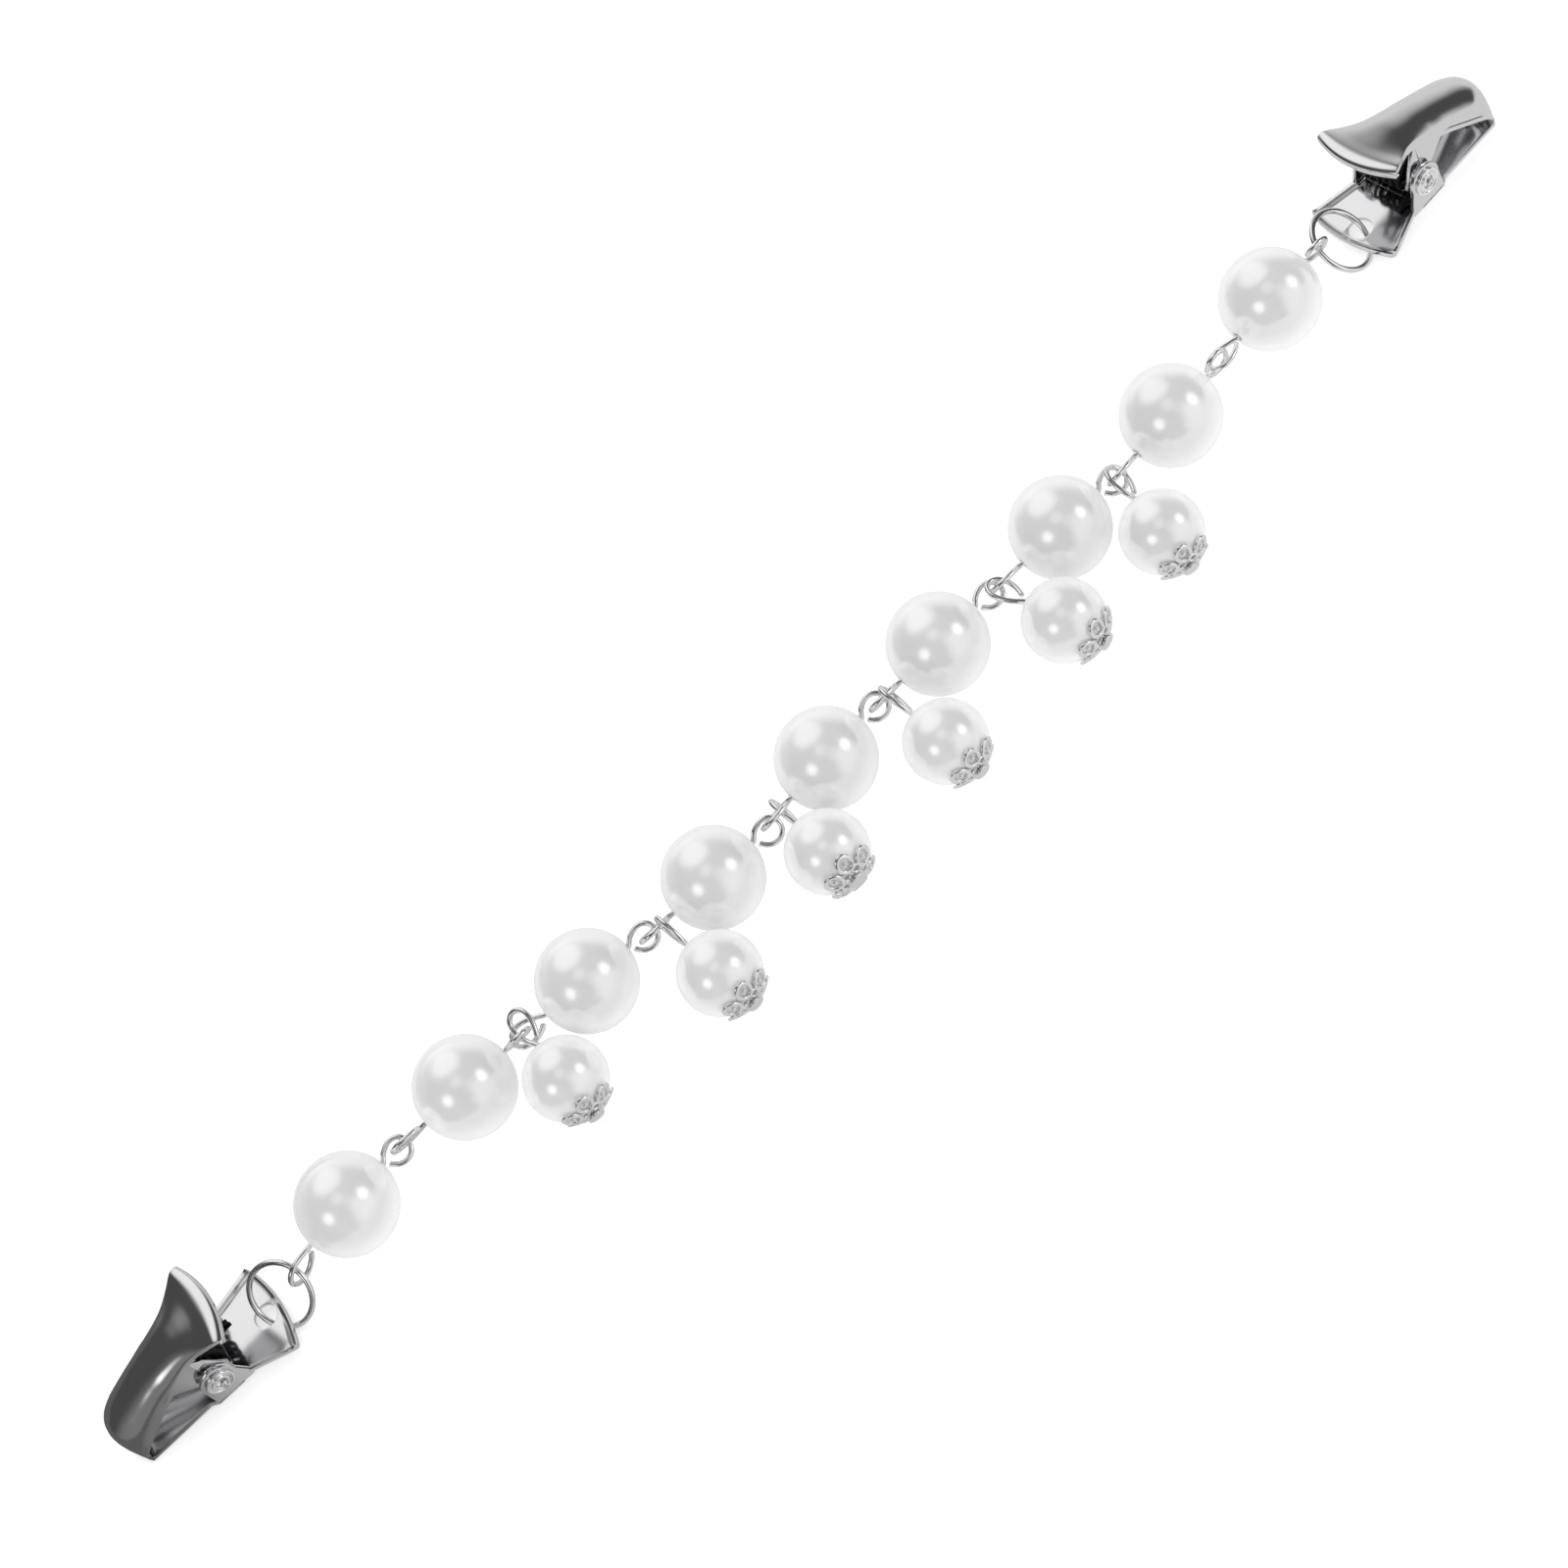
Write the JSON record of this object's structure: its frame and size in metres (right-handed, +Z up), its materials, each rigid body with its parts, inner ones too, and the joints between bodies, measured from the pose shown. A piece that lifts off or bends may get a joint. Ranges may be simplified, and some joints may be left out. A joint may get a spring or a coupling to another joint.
{
  "type": "sweater clip",
  "caption": "Row of pearl beads on linked eye pins with small pearl drops between them, and a ring and a sprung metal clip at each end.",
  "frame": {"origin": "centre of the outline on the surface that the chain lies on", "axes": "+X along the row of pearls, +Y away from the drops, +Z up"},
  "size_m": [0.1836, 0.0224, 0.0103],
  "materials": {
    "pearl": "pearl lustre, soft gloss",
    "silver_wire": "bright silver plate",
    "silver_trim": "bright silver plate",
    "clip_plate": "polished nickel plate",
    "spring_wire": "dark oiled steel"
  },
  "bodies": {
    "chain": {"left_lower_jaw": "clip_plate", "left_rivet": "silver_trim", "left_spring": "spring_wire", "left_ring": "silver_wire", "right_lower_jaw": "clip_plate", "right_rivet": "silver_trim", "right_spring": "spring_wire", "right_ring": "silver_wire", "pearl_1": "pearl", "pearl_2": "pearl", "pearl_3": "pearl", "pearl_4": "pearl", "pearl_5": "pearl", "pearl_6": "pearl", "pearl_7": "pearl", "pearl_8": "pearl", "pearl_9": "pearl", "eye_pin_1": "silver_wire", "eye_pin_2": "silver_wire", "eye_pin_3": "silver_wire", "eye_pin_4": "silver_wire", "eye_pin_5": "silver_wire", "eye_pin_6": "silver_wire", "eye_pin_7": "silver_wire", "eye_pin_8": "silver_wire", "eye_pin_9": "silver_wire", "drop_pearl_1": "pearl", "drop_pearl_2": "pearl", "drop_pearl_3": "pearl", "drop_pearl_4": "pearl", "drop_pearl_5": "pearl", "drop_pearl_6": "pearl", "drop_pin_1": "silver_wire", "drop_pin_2": "silver_wire", "drop_pin_3": "silver_wire", "drop_pin_4": "silver_wire", "drop_pin_5": "silver_wire", "drop_pin_6": "silver_wire", "bead_cap_1": "silver_trim", "bead_cap_2": "silver_trim", "bead_cap_3": "silver_trim", "bead_cap_4": "silver_trim", "bead_cap_5": "silver_trim", "bead_cap_6": "silver_trim"},
    "left_lever": {"left_upper_jaw": "clip_plate"},
    "right_lever": {"right_upper_jaw": "clip_plate"}
  },
  "joints": [
    {"name": "left_clip_hinge", "type": "hinge", "parent": "chain", "child": "left_lever", "pos_m": [-0.08026, 0.00425, 0.00371], "axis": [0.0767, 0.9971, 0], "range_deg": [0, 30], "stiffness_Nm_per_rad": 0.05, "springref_deg": -0.11, "deforming": ["left_spring"]},
    {"name": "right_clip_hinge", "type": "hinge", "parent": "chain", "child": "right_lever", "pos_m": [0.08028, 0.00658, 0.00371], "axis": [0.1149, -0.9934, 0], "range_deg": [0, 30], "stiffness_Nm_per_rad": 0.05, "springref_deg": -0.11, "deforming": ["right_spring"]}
  ]
}
